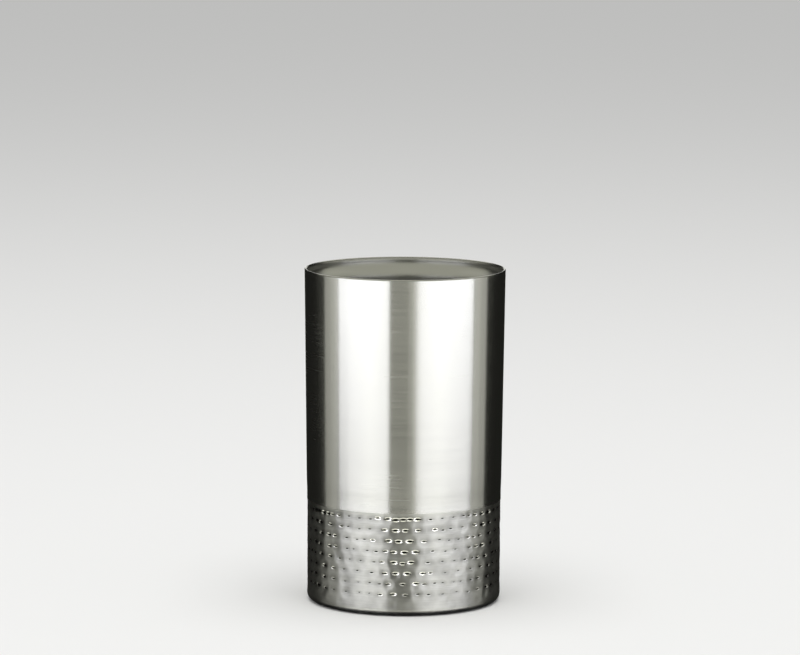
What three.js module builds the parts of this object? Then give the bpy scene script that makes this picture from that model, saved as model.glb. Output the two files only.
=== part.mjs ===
// A double-walled table-top champagne bucket in stainless steel, in millimetres, +Z up.
// The origin is on the table, under the middle of the bucket. Every piece is round about Z.
// The outer shell is brushed above and hammered in a band below; the liner hangs inside it
// from a welded lip, and a pressed base plate with a foot ring closes the bottom.
import * as THREE from "three";

// Driving dimensions
const HEIGHT = 200; // table to the top of the lip
const MOUTH_RADIUS = 60; // outside of the outer shell, at the height of the lip
const SHEET = 0.6; // thickness of both shells
const WELD_GAP = 0.05; // left between two pieces that a weld or an adhesive joins

// Outer shell
const FOOT_STAND = 0.25; // how far the foot ring lifts the steel off the table
const CORNER_RADIUS = 4; // rounded bottom edge
const FLANGE_INNER = 46.4; // hole in the turned-in bottom flange
const BAND_TOP = 62; // where the hammered band meets the brushed wall
const BAND_RADIUS = 57.95; // outside of the band, which runs straight up and down
const WALL_LOW_RADIUS = 58.2; // outside of the tapered wall where it meets the band
const SHOULDER = 1.2; // height of the small step between the two

// Liner
const FLOOR_Z = 14; // underside of the liner's floor
const FLOOR_CORNER = 8; // inside radius between the liner's floor and its wall
const BORE_FLOOR_RADIUS = 50.5; // inside of the liner, level with its floor
const BORE_NECK_RADIUS = 54.5; // inside of the liner, below its neck
const NECK_LOW = 188; // the neck flares from here...
const NECK_HIGH = 197.6; // ...to here, where the lip runs straight up

// Base
const PLATE = 0.8; // thickness of the base plate
const PANEL_RISE = 2; // the middle panel stands this far above the rim around it
const PANEL_RADIUS = 36;
const RIM_INNER = 38;
const PLATE_RADIUS = 51;
const BEAD_WIDTH = 0.8;
const BEAD_HOLLOW = 0.15; // how far the bead's face dips below a straight one
const VENT_RADIUS = 2;
const PLUG_RADIUS = 4;
const PLUG_HEAD = 1; // thickness of the plug's head
const PLUG_EDGE = 0.6; // rounding of its edge
const FOOT_INNER = 38.6;
const FOOT_OUTER = 44.8;
const FOOT_EDGE = 0.25; // rounding of the foot ring's edges
const PAD_RADIUS = 44;

const ROUND = 72; // segments around the axis
const PLUG_ROUND = 24; // the same, on the small plug
const ARC_STEPS = 3; // a path's arc is drawn with twice as many points, a curve with as many

const wallSlope = (MOUTH_RADIUS - WALL_LOW_RADIUS) / (HEIGHT - BAND_TOP);
const wallRadius = (z) => MOUTH_RADIUS - wallSlope * (HEIGHT - z);
const lipOuter = wallRadius(NECK_HIGH) - SHEET - WELD_GAP;
const lipInner = lipOuter - SHEET;
const lipHalf = (wallRadius(HEIGHT) - lipInner) / 2;
const seamZ = HEIGHT - lipHalf - WELD_GAP; // top edges of both shells
const plateSeatZ = FOOT_STAND + SHEET + WELD_GAP; // the plate's rim rests on the flange

const COLOURS = {
  brushed_steel: { color: 0xd2d2c8, roughness: 0.32, metalness: 1 },
  satin_steel: { color: 0xc6c6bc, roughness: 0.4, metalness: 1 },
  weld_steel: { color: 0xdadad2, roughness: 0.18, metalness: 1 },
  foot_rubber: { color: 0x141414, roughness: 0.75, metalness: 0 },
  insulation: { color: 0xe9e9e4, roughness: 0.95, metalness: 0 },
};

// A solid of revolution about Z from a path of (radius, height) points.
function turned(name, colour, path, segments = ROUND) {
  const geometry = new THREE.LatheGeometry(path.getPoints(ARC_STEPS), segments);
  geometry.rotateX(Math.PI / 2);
  const mesh = new THREE.Mesh(geometry, new THREE.MeshStandardMaterial(COLOURS[colour]));
  mesh.name = name;
  return mesh;
}

function outerShell() {
  const cornerZ = FOOT_STAND + CORNER_RADIUS;
  const cornerRadius = BAND_RADIUS - CORNER_RADIUS;
  const bandHigh = BAND_TOP - SHOULDER;
  const path = new THREE.Path();
  path.moveTo(FLANGE_INNER, FOOT_STAND);
  path.lineTo(cornerRadius, FOOT_STAND);
  path.absarc(cornerRadius, cornerZ, CORNER_RADIUS, -Math.PI / 2, 0, false);
  path.lineTo(BAND_RADIUS, bandHigh);
  path.lineTo(WALL_LOW_RADIUS, BAND_TOP);
  path.lineTo(wallRadius(seamZ), seamZ);
  path.lineTo(wallRadius(seamZ) - SHEET, seamZ);
  path.lineTo(WALL_LOW_RADIUS - SHEET, BAND_TOP);
  path.lineTo(BAND_RADIUS - SHEET, bandHigh);
  path.absarc(cornerRadius, cornerZ, CORNER_RADIUS - SHEET, 0, -Math.PI / 2, true);
  path.lineTo(FLANGE_INNER, FOOT_STAND + SHEET);
  path.closePath();
  return turned("outer_shell", "brushed_steel", path);
}

// A drawn cup: flat floor, tapered bore, and a neck that flares out to meet the outer shell.
function innerLiner() {
  const neckMiddle = (NECK_LOW + NECK_HIGH) / 2;
  const cornerZ = FLOOR_Z + SHEET + FLOOR_CORNER;
  const cornerRadius = BORE_FLOOR_RADIUS - FLOOR_CORNER;
  const path = new THREE.Path();
  path.moveTo(0, FLOOR_Z);
  path.lineTo(cornerRadius, FLOOR_Z);
  path.absarc(cornerRadius, cornerZ, FLOOR_CORNER + SHEET, -Math.PI / 2, 0, false);
  path.lineTo(BORE_NECK_RADIUS + SHEET, NECK_LOW);
  path.bezierCurveTo(
    BORE_NECK_RADIUS + SHEET, neckMiddle, lipOuter, neckMiddle, lipOuter, NECK_HIGH);
  path.lineTo(lipOuter, seamZ);
  path.lineTo(lipInner, seamZ);
  path.lineTo(lipInner, NECK_HIGH);
  path.bezierCurveTo(
    lipInner, neckMiddle, BORE_NECK_RADIUS, neckMiddle, BORE_NECK_RADIUS, NECK_LOW);
  path.lineTo(BORE_FLOOR_RADIUS, cornerZ);
  path.absarc(cornerRadius, cornerZ, FLOOR_CORNER, 0, -Math.PI / 2, true);
  path.lineTo(0, FLOOR_Z + SHEET);
  return turned("inner_liner", "satin_steel", path);
}

// The weld that joins the two shells at the mouth, polished to a half-round lip.
function lipWeld() {
  const path = new THREE.Path();
  path.moveTo(lipInner, seamZ + WELD_GAP);
  path.lineTo(wallRadius(HEIGHT), seamZ + WELD_GAP);
  path.absarc(lipInner + lipHalf, HEIGHT - lipHalf, lipHalf, 0, Math.PI, false);
  path.closePath();
  return turned("lip_weld", "weld_steel", path);
}

// A pressed plate: a raised middle panel, and a flat rim that rests on the flange.
function basePlate() {
  const panelZ = plateSeatZ + PANEL_RISE;
  const underside = [
    [VENT_RADIUS, panelZ],
    [PANEL_RADIUS, panelZ],
    [RIM_INNER, plateSeatZ],
    [PLATE_RADIUS, plateSeatZ],
  ];
  const path = new THREE.Path();
  path.moveTo(...underside[0]);
  underside.slice(1).forEach(([r, z]) => path.lineTo(r, z));
  underside.reverse().forEach(([r, z]) => path.lineTo(r, z + PLATE));
  path.closePath();
  return turned("base_plate", "satin_steel", path);
}

// The bead in the corner between the flange's inner edge and the base plate's rim.
function baseWeld() {
  const outer = FLANGE_INNER - WELD_GAP;
  const inner = outer - BEAD_WIDTH;
  const low = FOOT_STAND + WELD_GAP;
  const high = plateSeatZ - WELD_GAP;
  const middle = (inner + outer) / 2;
  const path = new THREE.Path();
  path.moveTo(outer, low);
  path.lineTo(outer, high);
  path.lineTo(inner, high);
  path.quadraticCurveTo(middle, (low + high) / 2 + BEAD_HOLLOW, outer, low);
  return turned("base_weld", "weld_steel", path);
}

// A flat non-slip ring stuck under the base plate, inside the flange. The bucket stands on it.
function footRing() {
  const top = plateSeatZ - WELD_GAP;
  const path = new THREE.Path();
  path.moveTo(FOOT_INNER + FOOT_EDGE, 0);
  path.lineTo(FOOT_OUTER - FOOT_EDGE, 0);
  path.absarc(FOOT_OUTER - FOOT_EDGE, FOOT_EDGE, FOOT_EDGE, -Math.PI / 2, 0, false);
  path.lineTo(FOOT_OUTER, top);
  path.lineTo(FOOT_INNER, top);
  path.absarc(FOOT_INNER + FOOT_EDGE, FOOT_EDGE, FOOT_EDGE, Math.PI, 1.5 * Math.PI, false);
  return turned("foot_ring", "foot_rubber", path);
}

// A foam disc that carries the liner's floor and keeps the cold off the base plate.
function insulationDisc() {
  const low = plateSeatZ + PANEL_RISE + PLATE + WELD_GAP;
  const high = FLOOR_Z - WELD_GAP;
  const path = new THREE.Path();
  path.moveTo(0, low);
  path.lineTo(PAD_RADIUS, low);
  path.lineTo(PAD_RADIUS, high);
  path.lineTo(0, high);
  return turned("insulation_disc", "insulation", path);
}

// The plug in the hole that lets hot air out while the shells are welded.
function ventPlug() {
  const panelZ = plateSeatZ + PANEL_RISE;
  const headHigh = panelZ - WELD_GAP;
  const headLow = headHigh - PLUG_HEAD;
  const edgeRadius = PLUG_RADIUS - PLUG_EDGE;
  const path = new THREE.Path();
  path.moveTo(0, headLow);
  path.lineTo(edgeRadius, headLow);
  path.absarc(edgeRadius, headLow + PLUG_EDGE, PLUG_EDGE, -Math.PI / 2, 0, false);
  path.lineTo(PLUG_RADIUS, headHigh);
  path.lineTo(VENT_RADIUS - WELD_GAP, headHigh);
  path.lineTo(VENT_RADIUS - WELD_GAP, panelZ + PLATE);
  path.lineTo(0, panelZ + PLATE);
  return turned("vent_plug", "foot_rubber", path, PLUG_ROUND);
}

const bucket = new THREE.Group();
bucket.add(
  outerShell(), innerLiner(), lipWeld(), basePlate(),
  baseWeld(), footRing(), insulationDisc(), ventPlug());

export default bucket;
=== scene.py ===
import math
import random

import bpy
import numpy as np
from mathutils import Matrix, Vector

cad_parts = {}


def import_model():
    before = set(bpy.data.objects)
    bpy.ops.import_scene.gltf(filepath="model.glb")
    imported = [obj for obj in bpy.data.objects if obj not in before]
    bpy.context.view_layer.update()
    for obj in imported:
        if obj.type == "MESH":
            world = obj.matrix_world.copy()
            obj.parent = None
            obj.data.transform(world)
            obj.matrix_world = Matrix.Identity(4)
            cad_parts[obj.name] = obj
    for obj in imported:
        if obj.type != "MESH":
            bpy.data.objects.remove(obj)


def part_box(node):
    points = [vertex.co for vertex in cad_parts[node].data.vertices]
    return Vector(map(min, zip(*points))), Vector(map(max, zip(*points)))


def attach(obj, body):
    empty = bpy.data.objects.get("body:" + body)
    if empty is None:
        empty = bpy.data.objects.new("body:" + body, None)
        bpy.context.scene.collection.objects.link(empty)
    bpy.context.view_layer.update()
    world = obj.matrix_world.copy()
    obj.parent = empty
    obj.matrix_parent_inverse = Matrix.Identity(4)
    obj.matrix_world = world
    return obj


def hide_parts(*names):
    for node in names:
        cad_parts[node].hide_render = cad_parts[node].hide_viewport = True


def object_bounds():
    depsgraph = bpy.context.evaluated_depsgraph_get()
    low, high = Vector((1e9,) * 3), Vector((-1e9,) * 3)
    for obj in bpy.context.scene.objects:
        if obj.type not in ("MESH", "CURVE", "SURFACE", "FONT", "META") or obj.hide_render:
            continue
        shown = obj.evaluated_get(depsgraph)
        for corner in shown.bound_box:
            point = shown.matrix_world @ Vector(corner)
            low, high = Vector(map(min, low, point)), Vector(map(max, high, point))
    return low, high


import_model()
cad_low, cad_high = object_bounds()

# The looks of a double-walled champagne bucket. Metres, +Z up, every piece round about Z.
MM = 0.001

# What the CAD frame says
shell_low, shell_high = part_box("outer_shell")
liner_low, liner_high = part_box("inner_liner")
plate_low, plate_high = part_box("base_plate")
bead_low, bead_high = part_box("base_weld")
foam_low, foam_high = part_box("insulation_disc")
plug_low, plug_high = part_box("vent_plug")
foot_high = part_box("foot_ring")[1]
lip_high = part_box("lip_weld")[1]
HEIGHT = cad_high.z
MOUTH_RADIUS = lip_high.x
SEAM_Z = shell_high.z  # top edges of both shells
FOOT_STAND = shell_low.z  # height of the steel above the table
LINER_RIM = liner_high.x  # outside of the liner at the seam

# Shells
SHEET = 0.6 * MM
WELD_GAP = 0.05 * MM  # left between two pieces that a weld or an adhesive joins
SHEET_EDGE = 0.1 * MM  # bevel of the outer shell's cut edges
SEAM_EDGE = 0.04 * MM  # the same where the lip weld all but touches it
LINER_EDGE = 0.08 * MM
WALL_LOW_RADIUS = 58.2 * MM  # outside of the brushed wall, at the top of the band
BAND_RADIUS = 57.95 * MM  # outside of the hammered band
CORNER_RADIUS = 4 * MM
FLANGE_INNER = 46.4 * MM
FLOOR_CORNER = 8 * MM
BORE_FLOOR_RADIUS = 50.5 * MM
BORE_NECK_RADIUS = 54.5 * MM
NECK_LOW = 188 * MM
NECK_HIGH = 197.6 * MM

# Base
PLATE = 0.8 * MM
PANEL_RISE = 2 * MM
PANEL_RADIUS = 36 * MM
RIM_INNER = 38 * MM
PLATE_EDGE = 0.15 * MM
BEND_HOLLOW = 1.0 * MM  # rounding of the plate's bends on their hollow side...
BEND_CREST = 0.6 * MM  # ...and on the other
BEAD_WIDTH = 0.8 * MM
BEAD_HOLLOW = 0.15 * MM
BEAD_RIPPLES = 160
BEAD_RIPPLE = 0.03 * MM
RIPPLE_STEPS = 6  # segments in each ripple
VENT_RADIUS = 2 * MM
PLUG_EDGE = 0.5 * MM
STEM_EDGE = 0.2 * MM
FOOT_INNER = 38.6 * MM
FOOT_EDGE = 0.2 * MM  # rounding of the edges that the bucket stands on
FOOT_TOP_EDGE = 0.1 * MM
FOAM_EDGE = 0.6 * MM

# Band and wall
BAND_TOP = 62 * MM
CREASE = 2.4 * MM  # height of the soft step between the wall and the band
GROOVE_MIDDLE = 66 * MM  # a shallow groove runs round the wall just above the band
GROOVE_REACH = 9 * MM
GROOVE_DEPTH = 0.15 * MM
BULGE = 0.5 * MM  # how far the hammering pushes the band's hidden inside inwards
BULGE_LOW = 2.5 * MM  # above the rounded bottom edge
FADE_START = 1 * MM  # the hammering fades in from this far below the band's straight part...
FADE_LOW = 5 * MM  # ...over this height, and fades out over the next one below the wall
FADE_HIGH = 2 * MM

# Hammer marks. Each is a small oval pocket with painted shade at its very bottom, in a wide shallow dish.
MARK_ROWS = 8
MARKS_PER_ROW = 49
TOP_ROW_EXTRA = 14  # the top row has this many marks more
FIRST_ROW = 4.0 * MM  # below the band's top
ROW_PITCH = 6.4 * MM
ROW_JITTER = 0.25 * MM
GAPS = (0.6, 1.4)  # gaps in a row, as shares of the mean gap
MARK_WIDTH = 4.4 * MM
MARK_HEIGHT = 2.1 * MM
MARK_DEPTH = 0.28 * MM
PIT_SHADE_WIDTH = 2.8 * MM
PIT_SHADE_HEIGHT = 1.1 * MM
TOP_ROW_SIZE = 0.92  # mean size in the top row, as a share of the sizes above
ROW_SHRINK = 0.03  # each row is this much smaller than the one above it
SWINGS = 6  # round the band, the marks grow and shrink this many times...
SWING = 0.26  # ...by this much
TOP_ROW_SWING = 0.34
SIZES = (0.85, 1.12)  # each mark's own share of its row's size
DISH_RADIUS = 3.9 * MM
DISH_DEPTH = 0.18 * MM
DISH_DEPTHS = (0.5, 1.3)  # each dish's share of that depth
DISH_REACH = 1.3 * DISH_RADIUS  # a mark changes nothing further away

# Softer dents, anywhere between the marks
DENTS = 460
DENT_RADII = (2.2 * MM, 4.2 * MM)
DENT_HEIGHTS = (0.08, 0.95)  # as shares of the band's height
DENT_DEPTH = 0.19 * MM
DENT_DEPTHS = (0.2, 1)  # each dent's share of that depth
DENT_FOOT_SHARE = 1.2  # times that depth at the foot, and 1 less at the band's top

# Masks that the band's material reads. "mark", and the mask of the painted shade in each pit, are
# MASK_MIDDLE in the middle of their oval, and 1 less for each of its radii outwards, down to MARK_FAR and
# to 0.
MASK_MIDDLE = 1.2
MARK_FAR = -2.0
POLISH_NONE = 0.7  # a mark this small keeps no polish...
POLISH_FULL = 0.95  # ...and one this large keeps all of it
POLISH_REACH = 1.5  # squared radii
POCKET_EDGE = (0.12, 0.3)  # values of "mark" between which the polish comes in
# The painted shade in each pit comes in between these values of its mask
PIT_SHADE_EDGE = (0.1, 0.3)  # values of "pit" between which the dark comes in

# Segments and rows
ROUND = 512  # segments of the outer shell
FINE_ROUND = 384  # segments of every other large piece
PAD_ROUND = 128
PLUG_ROUND = 96
FILLET_STEPS = 5
CORNER_STEPS = 10  # steps round the outer shell's bottom edge
HAMMERED_CORNER = 6  # how many rows of them the hammering reaches
FINE_ROWS = 14  # rows of vertices through a row of marks
FINE_REACH = 1.6 * MM  # how far above and below its middle they are
COARSE_PITCH = 1 * MM  # between the rows of vertices elsewhere in the band

SEED = 4

# Colours and roughness of the steel
STEEL = (0.72, 0.72, 0.72)
# Lighter than the steel: partly the rims' polish, partly a painted glint
RIM_STEEL_AND_GLINT = (0.95, 0.95, 0.94)
# A duller finish, and painted shade: this dark colour stands for the shade inside the bucket, on the
# liner, the lip weld, the base plate and the base weld
DULL_STEEL_AND_SHADE = (0.3, 0.3, 0.292)
# Painted shade at the very bottom of each mark
PIT_PAINTED_SHADE = (0.012, 0.012, 0.01)
LINE_SHARE = 0.97  # the darkest brush lines' colour, as a share of the steel's
DULL_SHARE = 0.84  # the band's colour away from the marks, as the same share...
# Painted shade in the dish close round each mark
DISH_SHADE_SHARE = 0.55  # ...and close round them
SATIN = (0.31, 0.36)  # roughness round the marks
RIM_ROUGHNESS = 0.14
BAND_ANISOTROPY = 0.72

# Lamps: heights of the softboxes, and of their image in the table, with a dark gap between the two
LAMP_DISTANCE = 0.8
SOFTBOX_LOW = 0.005
STRIP_LOW = -0.09  # those further round than STRIP_ANGLE reach lower
STRIP_ANGLE = 82.5
OVERHEAD_LOW = 0.12  # the one over the camera starts higher
SOFTBOX_HIGH = 0.36
IMAGE_HIGH = -0.27
IMAGE_LOW = -0.5
CEILING = 0.6
CEILING_SIDE = 2.6
CEILING_FRONT = 1.5
CEILING_BACK = 0.6
SOFTBOX_LIGHT = 1.95
BEHIND_LIGHT = 1.0
OVERHEAD_LIGHT = 0.22
ROOM_LIGHT = 0.01
CEILING_LIGHT = 0.75
CEILING_IMAGE = 0.9  # the ceiling's image in the table, as a share of its light
TABLE_SHINE = 0.6  # the same of the softboxes' image
WARM = 0.84  # the share of blue in the dimmest lamps and the ceiling
WATTS = 4  # for each square metre, to a lamp's radiance of 1

# Stage
FLOOR_REACH = 30
# Radius of the black disc of painted contact shade
CONTACT_RADIUS = 0.0614
CONTACT_SIDES = 64
CONTACT_DROP = 0.01 * MM


# ---- profiles and turned meshes ---------------------------------------------------------


def smooth(t):
    """0 to 1 with level ends."""
    t = np.clip(t, 0, 1)
    return t * t * (3 - 2 * t)


def softened(x, width=0.2):
    """x where it is over zero and zero elsewhere, with the corner between them rounded."""
    corner = 0.5 * (x + np.sqrt(x * x + width * width))
    return np.where(x > -1, corner, 0) * smooth((x + 1) / 0.5)


def wall_radius(z):
    """Outside radius of the brushed wall."""
    share = (z - BAND_TOP) / (HEIGHT - BAND_TOP)
    groove = GROOVE_DEPTH * float(smooth(1 - abs(z - GROOVE_MIDDLE) / GROOVE_REACH))
    return WALL_LOW_RADIUS + (MOUTH_RADIUS - WALL_LOW_RADIUS) * share - groove


def arc(centre_r, centre_z, radius, start, end, steps):
    """Points on an arc, angles in degrees from outwards, anticlockwise."""
    made = []
    for step in range(steps + 1):
        angle = math.radians(start + (end - start) * step / steps)
        made.append(Vector((centre_r + radius * math.cos(angle), centre_z + radius * math.sin(angle))))
    return made


def bezier(a, b, c, d, steps):
    """Points on a cubic curve from a to d, a itself left out."""
    made = []
    for step in range(1, steps + 1):
        t = step / steps
        made.append(a * (1 - t) ** 3 + b * 3 * t * (1 - t) ** 2 + c * 3 * t * t * (1 - t) + d * t ** 3)
    return made


def rounded(corners):
    """The closed outline through corners (radius, height, fillet), each corner on its own arc."""
    points = []
    for i, (r, z, fillet) in enumerate(corners):
        here = Vector((r, z))
        before = (Vector(corners[i - 1][:2]) - here).normalized()
        after = (Vector(corners[(i + 1) % len(corners)][:2]) - here).normalized()
        half = before.angle(after) / 2
        centre = here + (before + after).normalized() * fillet / math.sin(half)
        start = (here + before * fillet / math.tan(half) - centre).normalized()
        end = (here + after * fillet / math.tan(half) - centre).normalized()
        for step in range(FILLET_STEPS + 1):
            points.append(centre + start.slerp(end, step / FILLET_STEPS) * fillet)
    return points


def supported(points, margin=0.3 * MM, closed=True):
    """The same outline with a point near both ends of each long straight, to keep its shading flat."""
    made = []
    last = len(points) if closed else len(points) - 1
    for i in range(last):
        here = points[i]
        there = points[(i + 1) % len(points)]
        made.append(here)
        along = there - here
        if along.length > 4 * margin:
            made.append(here + along.normalized() * margin)
            made.append(there - along.normalized() * margin)
    if not closed:
        made.append(points[-1])
    return made


def turned(name, points, segments, closed=True):
    """A solid of revolution. Its outline closes on itself, or starts and ends on the axis."""
    radii = np.array([p[0] for p in points])
    heights = np.array([p[1] for p in points])
    angles = np.arange(segments) * 2 * math.pi / segments
    off_axis = slice(None) if closed else slice(1, -1)
    rings = np.stack([
        radii[off_axis, None] * np.cos(angles),
        radii[off_axis, None] * np.sin(angles),
        np.repeat(heights[off_axis, None], segments, axis=1),
    ], axis=-1)
    count = rings.shape[0]
    vertices = rings.reshape(-1, 3)
    faces = []
    turns = np.arange(segments)
    next_turns = (turns + 1) % segments
    for row in range(count if closed else count - 1):
        low = row * segments
        high = (row + 1) % count * segments
        faces.append(np.stack([low + turns, low + next_turns, high + next_turns, high + turns], axis=1))
    faces = np.concatenate(faces).tolist()
    if not closed:
        first, last = len(vertices), len(vertices) + 1
        vertices = np.concatenate([vertices, [(0, 0, heights[0]), (0, 0, heights[-1])]])
        top = (count - 1) * segments
        faces += [[first, int(b), int(a)] for a, b in zip(turns, next_turns)]
        faces += [[last, int(top + a), int(top + b)] for a, b in zip(turns, next_turns)]
    mesh = bpy.data.meshes.new(name)
    mesh.from_pydata(vertices.tolist(), [], faces)
    mesh.shade_smooth()
    piece = bpy.data.objects.new(name, mesh)
    bpy.context.scene.collection.objects.link(piece)
    return piece


def finish_piece(piece, node, slot, *materials):
    """Gives a piece its materials and puts it in its CAD node's place."""
    for material in materials:
        piece.data.materials.append(material)
    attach(piece, "root")
    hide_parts(node)


# ---- materials ---------------------------------------------------------------------------


def connect(tree, socket, value):
    """Sets a socket to a value, or links it to the socket that feeds it."""
    if isinstance(value, bpy.types.NodeSocket):
        tree.links.new(value, socket)
    else:
        socket.default_value = value


def add(tree, kind, inputs=None, **settings):
    """A new shader node, with its settings and then its inputs."""
    node = tree.nodes.new("ShaderNode" + kind)
    for key, value in settings.items():
        setattr(node, key, value)
    for key, value in (inputs or {}).items():
        connect(tree, node.inputs[key], value)
    return node


def feed(tree, shader, **sockets):
    """Connects a shader's sockets, their spaces written as underscores."""
    for key, value in sockets.items():
        connect(tree, shader.inputs[key.replace("_", " ")], value)


def new_material(name):
    material = bpy.data.materials.new(name)
    material.use_nodes = True
    return material, material.node_tree, material.node_tree.nodes["Principled BSDF"]


def maths(tree, operation, a, b):
    return add(tree, "Math", {0: a, 1: b}, operation=operation).outputs[0]


def ranged(tree, value, low, high, to_low, to_high):
    """value moved from low..high to to_low..to_high, and held there."""
    return add(tree, "MapRange", {
        "Value": value, "From Min": low, "From Max": high, "To Min": to_low, "To Max": to_high,
    }).outputs["Result"]


def spread(tree, cloud, to_low, to_high):
    """A noise, which mostly stays in 0.3..0.7, moved to to_low..to_high."""
    return ranged(tree, cloud, 0.3, 0.7, to_low, to_high)


def mixed(tree, factor, dark, light):
    """dark where factor is 0 and light where it is 1, each a plain colour or a socket."""
    ends = [end if isinstance(end, bpy.types.NodeSocket) else (*end, 1) for end in (dark, light)]
    return add(tree, "Mix", {0: factor, 6: ends[0], 7: ends[1]}, data_type="RGBA").outputs[2]


def mask(tree, name):
    return add(tree, "Attribute", attribute_name=name).outputs["Fac"]


def place(tree):
    """Object coordinates, which are the row frame's."""
    return add(tree, "TexCoord").outputs["Object"]


def noise(tree, vector, scale, detail=2.0, roughness=0.5):
    return add(tree, "TexNoise", {
        "Vector": vector, "Scale": scale, "Detail": detail, "Roughness": roughness,
    }).outputs["Fac"]


def turned_lines(tree, length, pitch):
    """Noise drawn out round the axis, as lines of that length and pitch on walls and flats alike."""
    xyz = add(tree, "SeparateXYZ", {"Vector": place(tree)})
    flat = add(tree, "CombineXYZ", {"X": xyz.outputs["X"], "Y": xyz.outputs["Y"]})
    radius = add(tree, "VectorMath", {0: flat.outputs[0]}, operation="LENGTH").outputs["Value"]
    across = maths(tree, "MULTIPLY", maths(tree, "ADD", xyz.outputs["Z"], radius), length / pitch)
    vector = add(tree, "CombineXYZ", {"X": xyz.outputs["X"], "Y": xyz.outputs["Y"], "Z": across})
    return noise(tree, vector.outputs[0], 1 / length)


def bump(tree, height, distance):
    return add(tree, "Bump", {"Height": height, "Distance": distance, "Strength": 1.0}).outputs["Normal"]


def brushed_round(tree, shader, anisotropy):
    """Metal brushed round the axis: its highlights spread up and down, across the lines."""
    tangent = add(tree, "Tangent", direction_type="RADIAL", axis="Z").outputs[0]
    feed(tree, shader, Metallic=1.0, Anisotropic=anisotropy, Anisotropic_Rotation=0.25, Tangent=tangent)


def brushed_steel(name, light, roughness, anisotropy, line_length=40 * MM, line_pitch=0.35 * MM):
    """Steel with fine and broad brush lines, and a little cloudiness in its gloss."""
    material, tree, shader = new_material(name)
    fine_share = 0.7
    uneven, cloudy = 0.022, 0.012  # how far the lines and the clouds change the roughness
    fine = maths(tree, "MULTIPLY", turned_lines(tree, line_length, line_pitch), fine_share)
    broad = maths(tree, "MULTIPLY", turned_lines(tree, 2.5 * line_length, 5 * line_pitch), 1 - fine_share)
    lines = maths(tree, "ADD", fine, broad)
    cloud = noise(tree, place(tree), 25, 3)
    lined = spread(tree, lines, roughness - uneven, roughness + uneven)
    rough = maths(tree, "ADD", lined, spread(tree, cloud, -cloudy, cloudy))
    dark = [channel * LINE_SHARE for channel in light]
    brushed_round(tree, shader, anisotropy)
    feed(tree, shader, Base_Color=mixed(tree, spread(tree, lines, 0, 1), dark, light), Roughness=rough)
    feed(tree, shader, Normal=bump(tree, lines, 0.001 * MM))
    return material


def hammered_steel(name, light):
    """Dull steel, polished in the marks, with painted shade at their very bottoms and in the dish round
    each, and a painted glint on their polished rims.
    """
    material, tree, shader = new_material(name)
    mark = mask(tree, "mark")
    lines = turned_lines(tree, 20 * MM, 0.35 * MM)
    cloud = noise(tree, place(tree), 90, 3)
    rim = maths(tree, "MULTIPLY", ranged(tree, mark, *POCKET_EDGE, 0, 1), mask(tree, "polish"))
    # Painted shade at the bottom of each mark
    pit_shade = ranged(tree, mask(tree, "pit_shade"), *PIT_SHADE_EDGE, 0, 1)
    satin = spread(tree, cloud, *SATIN)
    rough = add(tree, "Mix", {0: rim, 2: satin, 3: RIM_ROUGHNESS}, data_type="FLOAT").outputs[0]
    dull = [channel * DULL_SHARE for channel in light]
    dish_shaded = [channel * DISH_SHADE_SHARE for channel in light]
    # Painted shade: the ground darkens in the dish close round each mark and stays lighter between marks,
    # with random clouds and brush lines on top
    painted_dish_shade = ranged(tree, mark, MARK_FAR, 0, 0.5, -0.1)
    tone_and_dish_shade = maths(tree, "ADD", maths(tree, "ADD", painted_dish_shade, spread(tree, cloud, -0.4, 0.4)), lines)
    ground = mixed(tree, ranged(tree, tone_and_dish_shade, 0.2, 1.3, 0, 1), dish_shaded, dull)
    # The polished rims get a lighter colour, a painted glint on top of their polish
    polished_with_glint = mixed(tree, rim, ground, RIM_STEEL_AND_GLINT)
    brushed_round(tree, shader, BAND_ANISOTROPY)
    feed(tree, shader, Base_Color=mixed(tree, pit_shade, polished_with_glint, PIT_PAINTED_SHADE), Roughness=rough)
    height = maths(tree, "MULTIPLY", lines, ranged(tree, rim, 0, 1, 1, 0.1))
    feed(tree, shader, Normal=bump(tree, height, 0.004 * MM))
    return material


def rubber(name):
    """Black rubber with a fine grain and a little dust."""
    material, tree, shader = new_material(name)
    grain = noise(tree, place(tree), 2200, 3)
    dust = noise(tree, place(tree), 120, 4, 0.65)
    clean, dusty = (0.016, 0.016, 0.016), (0.06, 0.058, 0.054)
    feed(tree, shader, Base_Color=mixed(tree, ranged(tree, dust, 0.45, 0.8, 0, 1), clean, dusty))
    feed(tree, shader, Roughness=ranged(tree, dust, 0.3, 0.8, 0.62, 0.85))
    feed(tree, shader, Normal=bump(tree, grain, 0.05 * MM))
    return material


def foam(name):
    """Moulded beads of expanded foam, darker where they meet."""
    material, tree, shader = new_material(name)
    beads = add(tree, "TexVoronoi", {"Vector": place(tree), "Scale": 330.0}, feature="F1")
    edge = beads.outputs["Distance"]
    middle, seam = (0.86, 0.86, 0.84), (0.6, 0.6, 0.57)
    feed(tree, shader, Base_Color=mixed(tree, ranged(tree, edge, 0.2, 0.8, 0, 1), middle, seam))
    feed(tree, shader, Roughness=ranged(tree, edge, 0, 0.8, 0.75, 0.95))
    feed(tree, shader, Normal=bump(tree, edge, -0.6 * MM))
    return material


# ---- outer shell -------------------------------------------------------------------------


def row_height(row):
    return BAND_TOP - FIRST_ROW - row * ROW_PITCH


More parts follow.
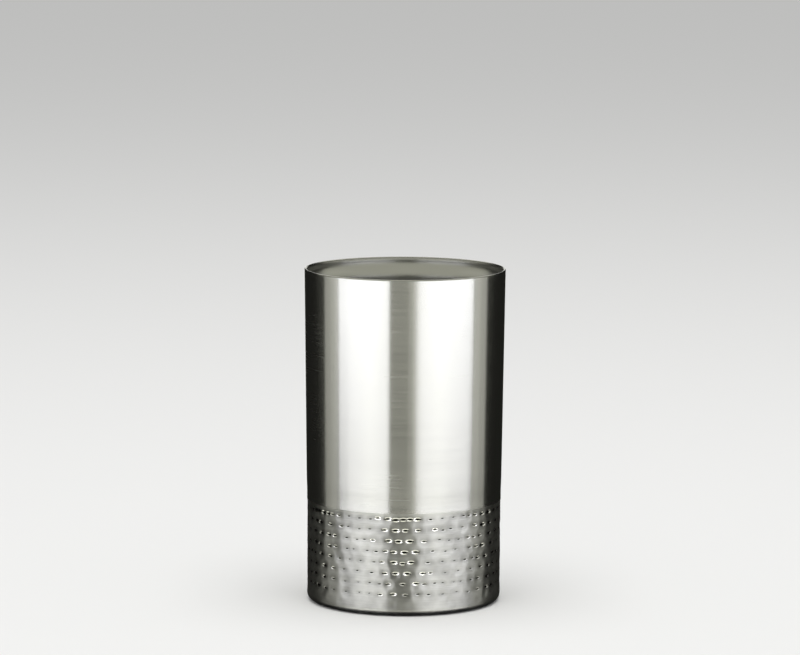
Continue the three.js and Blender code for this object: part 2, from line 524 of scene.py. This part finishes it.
def marks():
    """Angle, height and size of each mark. Sizes swing round the band and shrink towards the foot."""
    chance = random.Random(SEED)
    made = []
    for row in range(MARK_ROWS):
        top_row = row == 0
        count = MARKS_PER_ROW + (TOP_ROW_EXTRA if top_row else 0)
        swing = TOP_ROW_SWING if top_row else SWING
        gaps = [chance.uniform(*GAPS) for _ in range(count)]
        turn = 2 * math.pi / sum(gaps)
        angle = chance.uniform(0, 2 * math.pi)
        for gap in gaps:
            angle = (angle + gap * turn) % (2 * math.pi)
            row_size = TOP_ROW_SIZE - ROW_SHRINK * row
            row_size += swing * math.cos(SWINGS * (angle - math.pi / 2))
            size = row_size * chance.uniform(*SIZES)
            made.append((angle, row_height(row) + chance.gauss(0, ROW_JITTER), size))
    return made


def distances_round(angles, angle):
    """How far round the band, one way or the other, each of the angles is from one angle."""
    return ((angles - angle + math.pi) % (2 * math.pi) - math.pi) * BAND_RADIUS


def oval(across, up, width, height):
    """Squared distance from the middle of an oval, 1 on its edge."""
    return (2 * across / width) ** 2 + (2 * up / height) ** 2


def keep_larger(grid, cells, values):
    """Writes values into a grid's cells where they are larger than what is there."""
    grid[cells] = np.maximum(grid[cells], values)


def marked(angles, heights, chance):
    """Depth of the marks on a grid of heights by angles, and the masks for its material."""
    dish = np.zeros((len(heights), len(angles)))
    pocket = np.zeros_like(dish)
    masks = {
        "mark": np.full_like(dish, MARK_FAR),
        "pit_shade": np.zeros_like(dish),
        "polish": np.zeros_like(dish),
    }
    for angle, height, size in marks():
        around = distances_round(angles, angle)
        rows = np.nonzero(np.abs(heights - height) < DISH_REACH)[0]
        columns = np.nonzero(np.abs(around) < DISH_REACH)[0]
        cells = np.ix_(rows, columns)
        across = around[columns][None, :]
        up = (heights[rows] - height)[:, None]
        wide = oval(across, up, 2 * DISH_RADIUS, 2 * DISH_RADIUS)
        small = oval(across, up, size * MARK_WIDTH, size * MARK_HEIGHT)
        # The oval of painted shade at the bottom of the mark
        bottom = oval(across, up, size * PIT_SHADE_WIDTH, size * PIT_SHADE_HEIGHT)
        kept = float(smooth((size - POLISH_NONE) / (POLISH_FULL - POLISH_NONE)))
        keep_larger(dish, cells, DISH_DEPTH * chance.uniform(*DISH_DEPTHS) * softened(1 - wide))
        keep_larger(pocket, cells, MARK_DEPTH * size * softened(1 - small, 0.1))
        keep_larger(masks["mark"], cells, MASK_MIDDLE - np.sqrt(small))
        keep_larger(masks["pit_shade"], cells, MASK_MIDDLE - np.sqrt(bottom))
        keep_larger(masks["polish"], cells, np.where(small < POLISH_REACH, kept, 0))
    return dish + pocket, masks


def dented(angles, heights, chance):
    """Depth of the soft dents on the same grid."""
    depth = np.zeros((len(heights), len(angles)))
    for _ in range(DENTS):
        angle = chance.uniform(0, 2 * math.pi)
        height = BAND_TOP * chance.uniform(*DENT_HEIGHTS)
        radius = chance.uniform(*DENT_RADII)
        deep = DENT_DEPTH * chance.uniform(*DENT_DEPTHS) * (DENT_FOOT_SHARE - height / BAND_TOP)
        away = distances_round(angles, angle)[None, :] ** 2 + (heights[:, None] - height) ** 2
        depth += deep * np.exp(-2 * away / radius ** 2)
    return depth


def hammered(angles, heights):
    """Depth below the plain band on a grid of heights by angles, and the masks for its material."""
    chance = random.Random(SEED + 1)
    depth, masks = marked(angles, heights, chance)
    depth += dented(angles, heights, chance)
    straight_low = FOOT_STAND + CORNER_RADIUS
    fade = smooth((heights - straight_low + FADE_START) / FADE_LOW)
    fade *= smooth((BAND_TOP - heights) / FADE_HIGH)
    return depth * fade[:, None], masks


def band_heights(low, high):
    """Heights of the rows of vertices between low and high, close together where the marks are."""
    made = [low]
    for row in reversed(range(MARK_ROWS)):
        middle = row_height(row)
        start, end = middle - FINE_REACH, min(middle + FINE_REACH, high)
        coarse = max(1, round((start - made[-1]) / COARSE_PITCH))
        made += list(np.linspace(made[-1], start, coarse + 1))[1:-1]
        made += list(np.linspace(start, end, FINE_ROWS))
    return made[1:]


def wall_heights():
    """Heights of the rows of vertices in the brushed wall, closer together through the groove."""
    groove_high = GROOVE_MIDDLE + GROOVE_REACH
    made = list(np.linspace(BAND_TOP, groove_high, 12))
    return made + list(np.linspace(groove_high + 8 * MM, SEAM_Z - 0.5 * MM, 10))


def shell_outline():
    """The outer shell's outline, and where in it the band and the wall start."""
    corner_z = FOOT_STAND + CORNER_RADIUS
    corner_r = BAND_RADIUS - CORNER_RADIUS
    band_high = BAND_TOP - CREASE
    crease_radius = wall_radius(BAND_TOP)
    seam_radius = wall_radius(SEAM_Z)
    bulge_radius = BAND_RADIUS - SHEET - BULGE

    outline = [(FLANGE_INNER, FOOT_STAND + SHEET_EDGE), (FLANGE_INNER + SHEET_EDGE, FOOT_STAND)]
    outline.append((corner_r - 1 * MM, FOOT_STAND))
    outline += arc(corner_r, corner_z, CORNER_RADIUS, -90, 0, CORNER_STEPS)
    band_start = len(outline)
    outline += [(BAND_RADIUS, z) for z in band_heights(corner_z, band_high)]
    for share in (0.2, 0.4, 0.6, 0.8):
        radius = BAND_RADIUS + (crease_radius - BAND_RADIUS) * float(smooth(share))
        outline.append((radius, band_high + share * CREASE))
    wall_start = len(outline)
    outline += [(wall_radius(z), z) for z in wall_heights()]
    outline += [(seam_radius, SEAM_Z - 2 * SEAM_EDGE), (seam_radius, SEAM_Z - SEAM_EDGE)]
    outline.append((seam_radius - SEAM_EDGE, SEAM_Z))
    outline += [(seam_radius - SHEET + SHEET_EDGE, SEAM_Z), (seam_radius - SHEET, SEAM_Z - SHEET_EDGE)]
    outline.append((wall_radius(GROOVE_MIDDLE) - SHEET, GROOVE_MIDDLE))
    outline += [(bulge_radius, band_high), (bulge_radius, corner_z + BULGE_LOW)]
    outline += arc(corner_r, corner_z, CORNER_RADIUS - SHEET, 0, -90, 6)
    outline.append((FLANGE_INNER, FOOT_STAND + SHEET))
    return outline, band_start, wall_start


def outer_shell():
    """Brushed above and hammered in a band below, with a turned-in flange."""
    outline, band_start, wall_start = shell_outline()
    piece = turned("outer_shell_brushed", outline, ROUND)
    mesh = piece.data
    angles = np.arange(ROUND) * 2 * math.pi / ROUND
    rows = slice(band_start - HAMMERED_CORNER, wall_start)
    depth, masks = hammered(angles, np.array([z for _, z in outline[rows]]))
    places = np.zeros(len(mesh.vertices) * 3)
    mesh.vertices.foreach_get("co", places)
    grid = places.reshape(len(outline), ROUND, 3)
    outward = np.stack([np.cos(angles), np.sin(angles), np.zeros(ROUND)], axis=-1)
    grid[rows] -= depth[..., None] * outward[None]
    mesh.vertices.foreach_set("co", grid.reshape(-1))
    for mask_name, values in masks.items():
        whole = np.full((len(outline), ROUND), values.min())
        whole[rows] = values
        attribute = mesh.attributes.new(mask_name, "FLOAT", "POINT")
        attribute.data.foreach_set("value", whole.astype(np.float32).reshape(-1))
    finish_piece(
        piece, "outer_shell", "brushed_steel",
        brushed_steel("brushed_steel", STEEL, roughness=0.25, anisotropy=1.0),
        hammered_steel("hammered_steel", STEEL))
    in_band = np.zeros((len(outline), ROUND), np.int32)
    in_band[:wall_start - 1] = 1
    mesh.polygons.foreach_set("material_index", in_band.reshape(-1))
    mesh.update()


# ---- the other pieces --------------------------------------------------------------------


def neck(radius_below, radius_above, reverse=False):
    """The liner's flare, from below upwards, or the other way."""
    middle = (NECK_LOW + NECK_HIGH) / 2
    low = Vector((radius_below, NECK_LOW))
    high = Vector((radius_above, NECK_HIGH))
    low_pull = Vector((radius_below, middle))
    high_pull = Vector((radius_above, middle))
    if reverse:
        return [high] + bezier(high, high_pull, low_pull, low, 14)
    return [low] + bezier(low, low_pull, high_pull, high, 14)


def inner_liner():
    """A drawn cup: flat floor, tapered bore, and a neck that flares out to the outer shell."""
    rim_inner = LINER_RIM - SHEET
    corner_z = liner_low.z + SHEET + FLOOR_CORNER
    corner_r = BORE_FLOOR_RADIUS - FLOOR_CORNER
    edge = LINER_EDGE
    points = [Vector((0, liner_low.z))]
    points += arc(corner_r, corner_z, FLOOR_CORNER + SHEET, -90, 0, 12)
    points += neck(BORE_NECK_RADIUS + SHEET, LINER_RIM)
    points += [Vector((LINER_RIM, SEAM_Z - edge)), Vector((LINER_RIM - edge, SEAM_Z))]
    points += [Vector((rim_inner + edge, SEAM_Z)), Vector((rim_inner, SEAM_Z - edge))]
    points += neck(BORE_NECK_RADIUS, rim_inner, reverse=True)
    points += arc(corner_r, corner_z, FLOOR_CORNER, 0, -90, 16)
    points.append(Vector((0, liner_low.z + SHEET)))
    outline = supported(points, 0.5 * MM, closed=False)
    piece = turned("inner_liner_satin", outline, FINE_ROUND, closed=False)
    # The liner's dark colour is partly its duller finish and partly painted shade
    satin = brushed_steel("satin_steel", DULL_STEEL_AND_SHADE, roughness=0.32, anisotropy=0.5)
    finish_piece(piece, "inner_liner", "satin_steel", satin)


def lip_weld():
    """A half-round bead from the liner's inside to the outer shell's outside."""
    half = (MOUTH_RADIUS - (LINER_RIM - SHEET)) / 2
    points = arc(MOUTH_RADIUS - half, HEIGHT - half, half, 0, 180, 16)
    piece = turned("lip_weld_bead", points, FINE_ROUND)
    # The lip's dark colour is partly a duller finish and partly painted shade
    steel = brushed_steel(
        "weld_steel", DULL_STEEL_AND_SHADE, roughness=0.22, anisotropy=0.5,
        line_length=25 * MM, line_pitch=0.2 * MM)
    finish_piece(piece, "lip_weld", "weld_steel", steel)


def base_plate():
    """A pressed plate: a raised middle panel, and a flat rim that rests on the flange."""
    seat_z = plate_low.z
    panel_z = seat_z + PANEL_RISE
    # Radius, height, and how far the lower and upper corners there are rounded
    stations = [
        (VENT_RADIUS, panel_z, PLATE_EDGE, PLATE_EDGE),
        (PANEL_RADIUS, panel_z, BEND_HOLLOW, BEND_CREST),
        (RIM_INNER, seat_z, BEND_CREST, BEND_HOLLOW),
        (plate_high.x, seat_z, PLATE_EDGE, PLATE_EDGE),
    ]
    corners = [(r, z, under) for r, z, under, _ in stations]
    corners += [(r, z + PLATE, over) for r, z, _, over in reversed(stations)]
    piece = turned("base_plate_pressed", supported(rounded(corners)), FINE_ROUND)
    finish_piece(piece, "base_plate", "satin_steel", bpy.data.materials["satin_steel"])


def base_weld():
    """A fillet between the flange's edge and the plate, with the ripples that the torch leaves."""
    low, high = bead_low.z, bead_high.z
    outer = bead_high.x
    inner = outer - BEAD_WIDTH
    start = Vector((inner, high))
    pull = Vector(((inner + outer) / 2, (low + high) / 2 + BEAD_HOLLOW))
    end = Vector((outer, low))
    steps = 10
    points = [Vector((outer, high)), start] + bezier(start, pull, pull, end, steps)
    segments = RIPPLE_STEPS * BEAD_RIPPLES
    piece = turned("base_weld_bead", points, segments)
    for step in range(1, steps):
        share = math.sin(math.pi * step / steps)
        for column in range(segments):
            phase = column * 2 * math.pi / RIPPLE_STEPS + step + 1
            rise = BEAD_RIPPLE * share * (1 + math.cos(phase)) / 2
            piece.data.vertices[(step + 1) * segments + column].co.z += rise
    finish_piece(piece, "base_weld", "weld_steel", bpy.data.materials["weld_steel"])


def foot_ring():
    """A flat non-slip ring that the bucket stands on."""
    top = foot_high.z
    corners = [
        (FOOT_INNER, 0, FOOT_EDGE), (foot_high.x, 0, FOOT_EDGE),
        (foot_high.x, top, FOOT_TOP_EDGE), (FOOT_INNER, top, FOOT_TOP_EDGE),
    ]
    piece = turned("foot_ring_rubber", supported(rounded(corners), 0.2 * MM), FINE_ROUND)
    finish_piece(piece, "foot_ring", "foot_rubber", rubber("foot_rubber"))


def insulation_disc():
    """A foam disc between the base plate and the liner's floor."""
    points = [Vector((0, foam_low.z))]
    points += arc(foam_high.x - FOAM_EDGE, foam_low.z + FOAM_EDGE, FOAM_EDGE, -90, 0, 5)
    points += arc(foam_high.x - FOAM_EDGE, foam_high.z - FOAM_EDGE, FOAM_EDGE, 0, 90, 5)
    points.append(Vector((0, foam_high.z)))
    piece = turned("insulation_disc_foam", supported(points, closed=False), PAD_ROUND, closed=False)
    finish_piece(piece, "insulation_disc", "insulation", foam("insulation"))


def vent_plug():
    """A rubber plug, its head under the base plate and its stem through the vent."""
    head_high = plate_low.z + PANEL_RISE - WELD_GAP
    stem = VENT_RADIUS - WELD_GAP
    points = [Vector((0, plug_low.z))]
    points += arc(plug_high.x - PLUG_EDGE, plug_low.z + PLUG_EDGE, PLUG_EDGE, -90, 0, 6)
    points += [Vector((plug_high.x, head_high)), Vector((stem, head_high))]
    points += arc(stem - STEM_EDGE, plug_high.z - STEM_EDGE, STEM_EDGE, 0, 90, 4)
    points.append(Vector((0, plug_high.z)))
    outline = supported(points, 0.1 * MM, closed=False)
    piece = turned("vent_plug_rubber", outline, PLUG_ROUND, closed=False)
    finish_piece(piece, "vent_plug", "foot_rubber", bpy.data.materials["foot_rubber"])


outer_shell()
inner_liner()
lip_weld()
base_plate()
base_weld()
foot_ring()
insulation_disc()
vent_plug()


# ---- stage, lights and camera ------------------------------------------------------------


def stage_piece(name, corners, colour, roughness):
    """A flat piece of the stage, without any gloss."""
    material, tree, shader = new_material(name)
    feed(tree, shader, Base_Color=(*colour, 1), Roughness=roughness, Specular_IOR_Level=0.0)
    mesh = bpy.data.meshes.new(name)
    mesh.from_pydata(corners, [], [list(range(len(corners)))])
    mesh.materials.append(material)
    piece = bpy.data.objects.new(name, mesh)
    bpy.context.scene.collection.objects.link(piece)
    return piece


def floor():
    """A pale table. It shows in no reflection and lets the light of the lamps below it through."""
    far = FLOOR_REACH
    corners = [(-far, -far, 0), (far, -far, 0), (far, far, 0), (-far, far, 0)]
    piece = stage_piece("floor", corners, colour=(0.8, 0.8, 0.79), roughness=0.7)
    piece.visible_glossy = False
    piece.visible_shadow = False


def painted_contact_shade():
    """A black disc just under the table, seen only in reflections: painted shade for the table's shadow
    close round the foot. Only the lowest part of the steel reflects it.
    """
    angles = [2 * math.pi * i / CONTACT_SIDES for i in range(CONTACT_SIDES)]
    ring = [(CONTACT_RADIUS * math.cos(a), CONTACT_RADIUS * math.sin(a), -CONTACT_DROP) for a in angles]
    piece = stage_piece("painted_contact_shade", ring, colour=(0.01, 0.01, 0.01), roughness=1.0)
    piece.visible_camera = False
    piece.visible_diffuse = False


def area_light(name, width, height, radiance, blue=1.0):
    """A rectangular lamp that the camera doesn't see."""
    light = bpy.data.lights.new(name, "AREA")
    light.shape = "RECTANGLE"
    light.size = width
    light.size_y = height
    light.energy = WATTS * radiance * width * height
    light.color = (1, 1, blue)
    lamp = bpy.data.objects.new(name, light)
    lamp.visible_camera = False
    bpy.context.scene.collection.objects.link(lamp)
    return lamp


def panel(name, ends, low, high, radiance):
    """A lit panel that only reflections show, from one plan angle to another, and low to high."""
    middle = math.radians(sum(ends) / 2)
    width = 2 * LAMP_DISTANCE * math.tan(math.radians(ends[1] - ends[0]) / 2)
    lamp = area_light(name, width, high - low, radiance, min(1, WARM + 0.1 * radiance))
    plan = LAMP_DISTANCE * math.sin(middle), -LAMP_DISTANCE * math.cos(middle)
    lamp.location = (*plan, (low + high) / 2)
    lamp.rotation_euler = (math.pi / 2, 0, middle)
    lamp.visible_diffuse = False


def softboxes():
    """The softboxes all round, and their image in the table."""
    # Plan angles from the camera, + to the right, and how bright the softboxes are there
    above = [
        (-102.5, -92, 0.17), (-92, -84.5, 0.23), (-84.5, -79.6, 0.38), (-79.6, -17, 1.0),
        (4, 9, 0.12), (9, 13, 0.35), (13, 16, 0.7), (16, 82.5, 1.0), (82.5, 94, 0.26),
        (94, 105.5, 0.2),
    ]
    # The same for their image
    below = [
        (-108, -75, 0.07), (-75, -71, 0.3), (-71, -20, 1.0),
        (10, 15, 0.2), (15, 20, 0.6), (20, 83, 1.0), (83, 107, 0.05),
    ]
    for i, (start, end, share) in enumerate(above):
        low = SOFTBOX_LOW if abs(start + end) / 2 < STRIP_ANGLE else STRIP_LOW
        panel(f"softbox_{i}", (start, end), low, SOFTBOX_HIGH, SOFTBOX_LIGHT * share)
    for i, (start, end, share) in enumerate(below):
        radiance = SOFTBOX_LIGHT * TABLE_SHINE * share
        panel(f"softbox_image_{i}", (start, end), IMAGE_LOW, IMAGE_HIGH, radiance)


def ceiling(name, height, share):
    """A wide lamp that faces the bucket from above or from below."""
    lamp = area_light(name, CEILING_SIDE, CEILING_FRONT + CEILING_BACK, CEILING_LIGHT * share, WARM)
    lamp.location = (0, (CEILING_BACK - CEILING_FRONT) / 2, height)
    lamp.rotation_euler = (0 if height > 0 else math.pi, 0, 0)
    lamp.visible_diffuse = False


def lights():
    """All that the steel reflects, and one lamp for the floor, which it doesn't."""
    softboxes()
    panel("overhead", (-17, 9), OVERHEAD_LOW, SOFTBOX_HIGH, OVERHEAD_LIGHT)
    ceiling("ceiling", CEILING, 1)
    ceiling("ceiling_image", -CEILING, CEILING_IMAGE)
    panel("strip_behind", (169, 191), SOFTBOX_LOW, SOFTBOX_HIGH, BEHIND_LIGHT)
    for i, ends in enumerate([(-168, -136), (-136, -104), (107, 138), (138, 168), (-17, 4)]):
        panel(f"room_{i}", ends, IMAGE_LOW, SOFTBOX_HIGH, ROOM_LIGHT)
    top = area_light("softbox_above_behind", 2.2, 1.2, radiance=0.6)
    top.location = (0, 1.3, 1.5)
    top.rotation_euler = (math.radians(-50), 0, 0)
    top.visible_diffuse = False
    key = area_light("floor_light", 2.5, 2.5, radiance=2.2)
    key.location = (0, -0.4, 3)
    key.visible_glossy = False


def world():
    """An even light, which the steel doesn't reflect."""
    made = bpy.data.worlds.new("studio")
    bpy.context.scene.world = made
    made.use_nodes = True
    background = made.node_tree.nodes["Background"]
    background.inputs["Color"].default_value = (0.9, 0.9, 0.9, 1)
    background.inputs["Strength"].default_value = 0.7
    made.cycles_visibility.glossy = False


def camera():
    """A long lens, aimed down from higher than the lip."""
    distance, height, aside = 2.444, 0.49, -0.0029
    pitch, roll = 7.592, 0.31  # degrees
    sensor = 36
    focal_widths = 5.16  # focal length over the picture's width
    data = bpy.data.cameras.new("camera")
    data.sensor_width = sensor
    data.lens = sensor * focal_widths
    data.clip_end = 100
    made = bpy.data.objects.new("camera", data)
    made.location = (aside, -distance, height)
    made.rotation_mode = "ZYX"
    made.rotation_euler = (math.radians(90 - pitch), 0, math.radians(roll))
    bpy.context.scene.collection.objects.link(made)
    bpy.context.scene.camera = made


floor()
painted_contact_shade()
lights()
world()
camera()
bpy.context.scene.view_settings.view_transform = "Standard"
